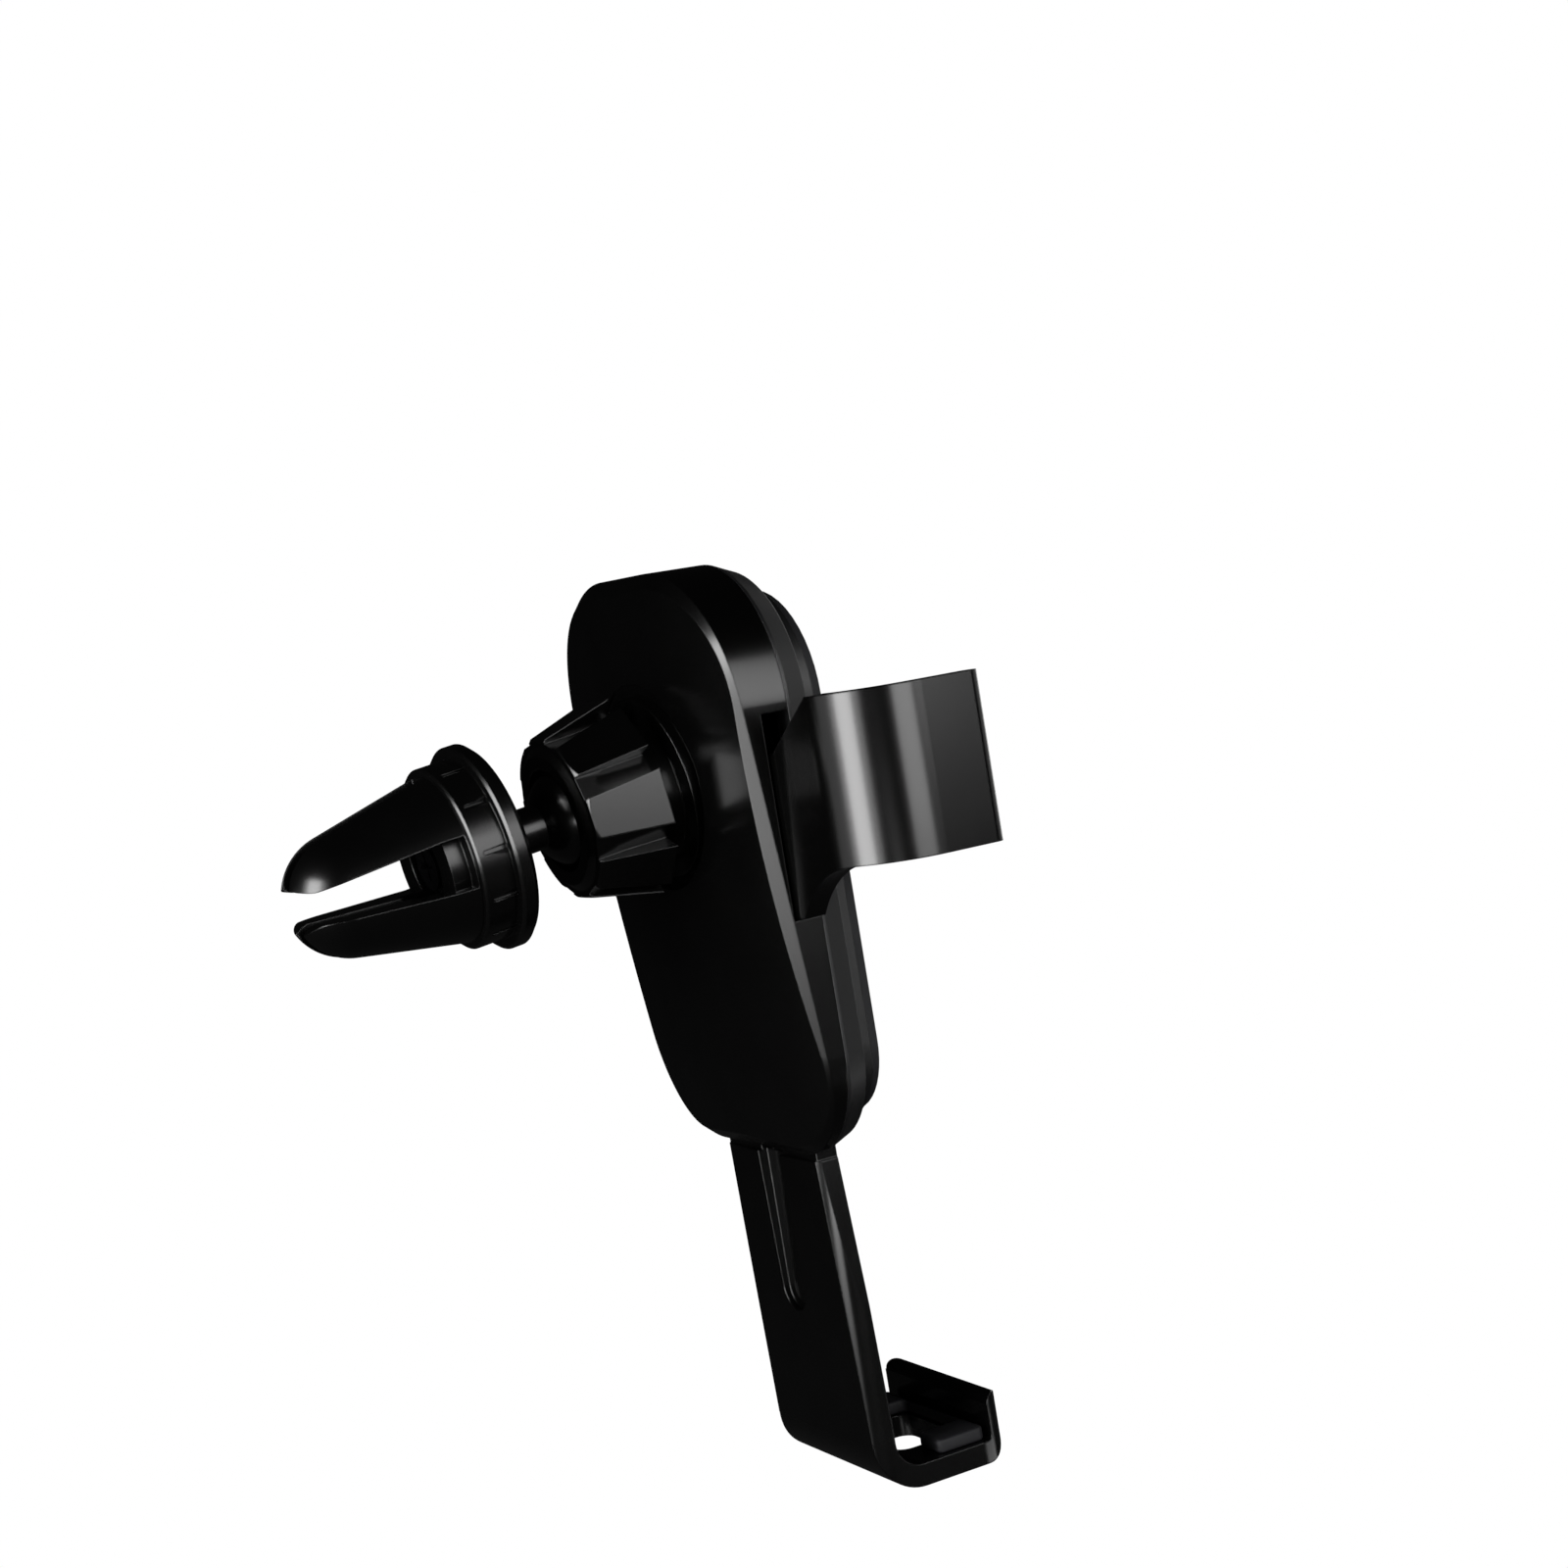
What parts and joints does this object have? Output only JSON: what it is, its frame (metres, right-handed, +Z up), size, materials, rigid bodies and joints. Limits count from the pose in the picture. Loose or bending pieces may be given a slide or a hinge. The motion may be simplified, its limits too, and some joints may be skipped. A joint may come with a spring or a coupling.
{
  "type": "gravity car phone holder",
  "caption": "Black plastic phone holder for a car's air vent: the phone's weight on a sliding foot draws two side arms in; a ball joint carries the vent clip.",
  "frame": {"origin": "middle of the vent clip's blade slot, on the clip's axis, nine millimetres from the slot's root", "axes": "+Z up the holder when the phone stands upright, -Y towards the phone, +Y towards the vent, +X towards the right arm seen from the phone's side"},
  "size_m": [0.08, 0.0697, 0.107],
  "materials": {
    "body_black": "moulded, smooth gloss",
    "band_black": "moulded, satin",
    "clip_black": "moulded, smooth gloss",
    "soft_black": "soft, matt",
    "seat_white": "hidden slick plastic",
    "felt_grey": "hidden felt",
    "screw_steel": "plated steel"
  },
  "bodies": {
    "clip": {"vent_clip": "clip_black"},
    "nut": {"clip_nut": "body_black"},
    "stud": {"ball_stud": "clip_black", "clip_screw": "screw_steel", "clip_washer": "screw_steel"},
    "seat": {"ball_seat": "seat_white"},
    "holder": {"socket_post": "body_black", "post_screws": "screw_steel", "back_shell": "body_black", "front_shell": "band_black", "front_pad": "soft_black", "case_screws": "screw_steel", "brake_strip": "felt_grey"},
    "collar": {"socket_nut": "body_black"},
    "foot_slider": {"foot": "body_black", "foot_pad": "soft_black"},
    "left_arm": {"arm_left": "body_black", "arm_liner_left": "soft_black", "cam_pin_left": "screw_steel"},
    "right_arm": {"arm_right": "body_black", "arm_liner_right": "soft_black", "cam_pin_right": "screw_steel"}
  },
  "joints": [
    {"name": "clip_nut_turn", "type": "hinge", "parent": "clip", "child": "nut", "pos_m": [0, -0.0111, 0.00146], "axis": [0, 0.9914, -0.1305], "range_deg": [-120, 120]},
    {"name": "clip_spin", "type": "hinge", "parent": "clip", "child": "stud", "pos_m": [0, -0.0121, 0.00159], "axis": [0, 0.9914, -0.1305], "continuous": true},
    {"name": "ball_tilt", "type": "hinge", "parent": "stud", "child": "seat", "pos_m": [0, -0.02598, 0.00342], "axis": [1, 0, 0], "range_deg": [-20, 20]},
    {"name": "ball_pan", "type": "hinge", "parent": "seat", "child": "holder", "pos_m": [0, -0.02598, 0.00342], "axis": [0, 0.1305, 0.9914], "range_deg": [-20, 20]},
    {"name": "socket_nut_turn", "type": "hinge", "parent": "holder", "child": "collar", "pos_m": [0, -0.02697, 0.00355], "axis": [0, 0.9914, -0.1305], "range_deg": [-120, 120]},
    {"name": "foot_slide", "type": "slide", "parent": "holder", "child": "foot_slider", "axis": [0, 0, 1], "range_m": [-0.01, 0.01]},
    {"name": "arm_right_slide", "type": "slide", "parent": "holder", "child": "right_arm", "axis": [1, 0, 0], "range_m": [-0.0055, 0.0055]},
    {"name": "arm_left_slide", "type": "slide", "parent": "holder", "child": "left_arm", "axis": [-1, 0, 0], "range_m": [-0.0055, 0.0055]}
  ],
  "couplings": [
    {"joint": "arm_right_slide", "follows": "foot_slide", "ratio": 0.55},
    {"joint": "arm_left_slide", "follows": "foot_slide", "ratio": 0.55}
  ]
}
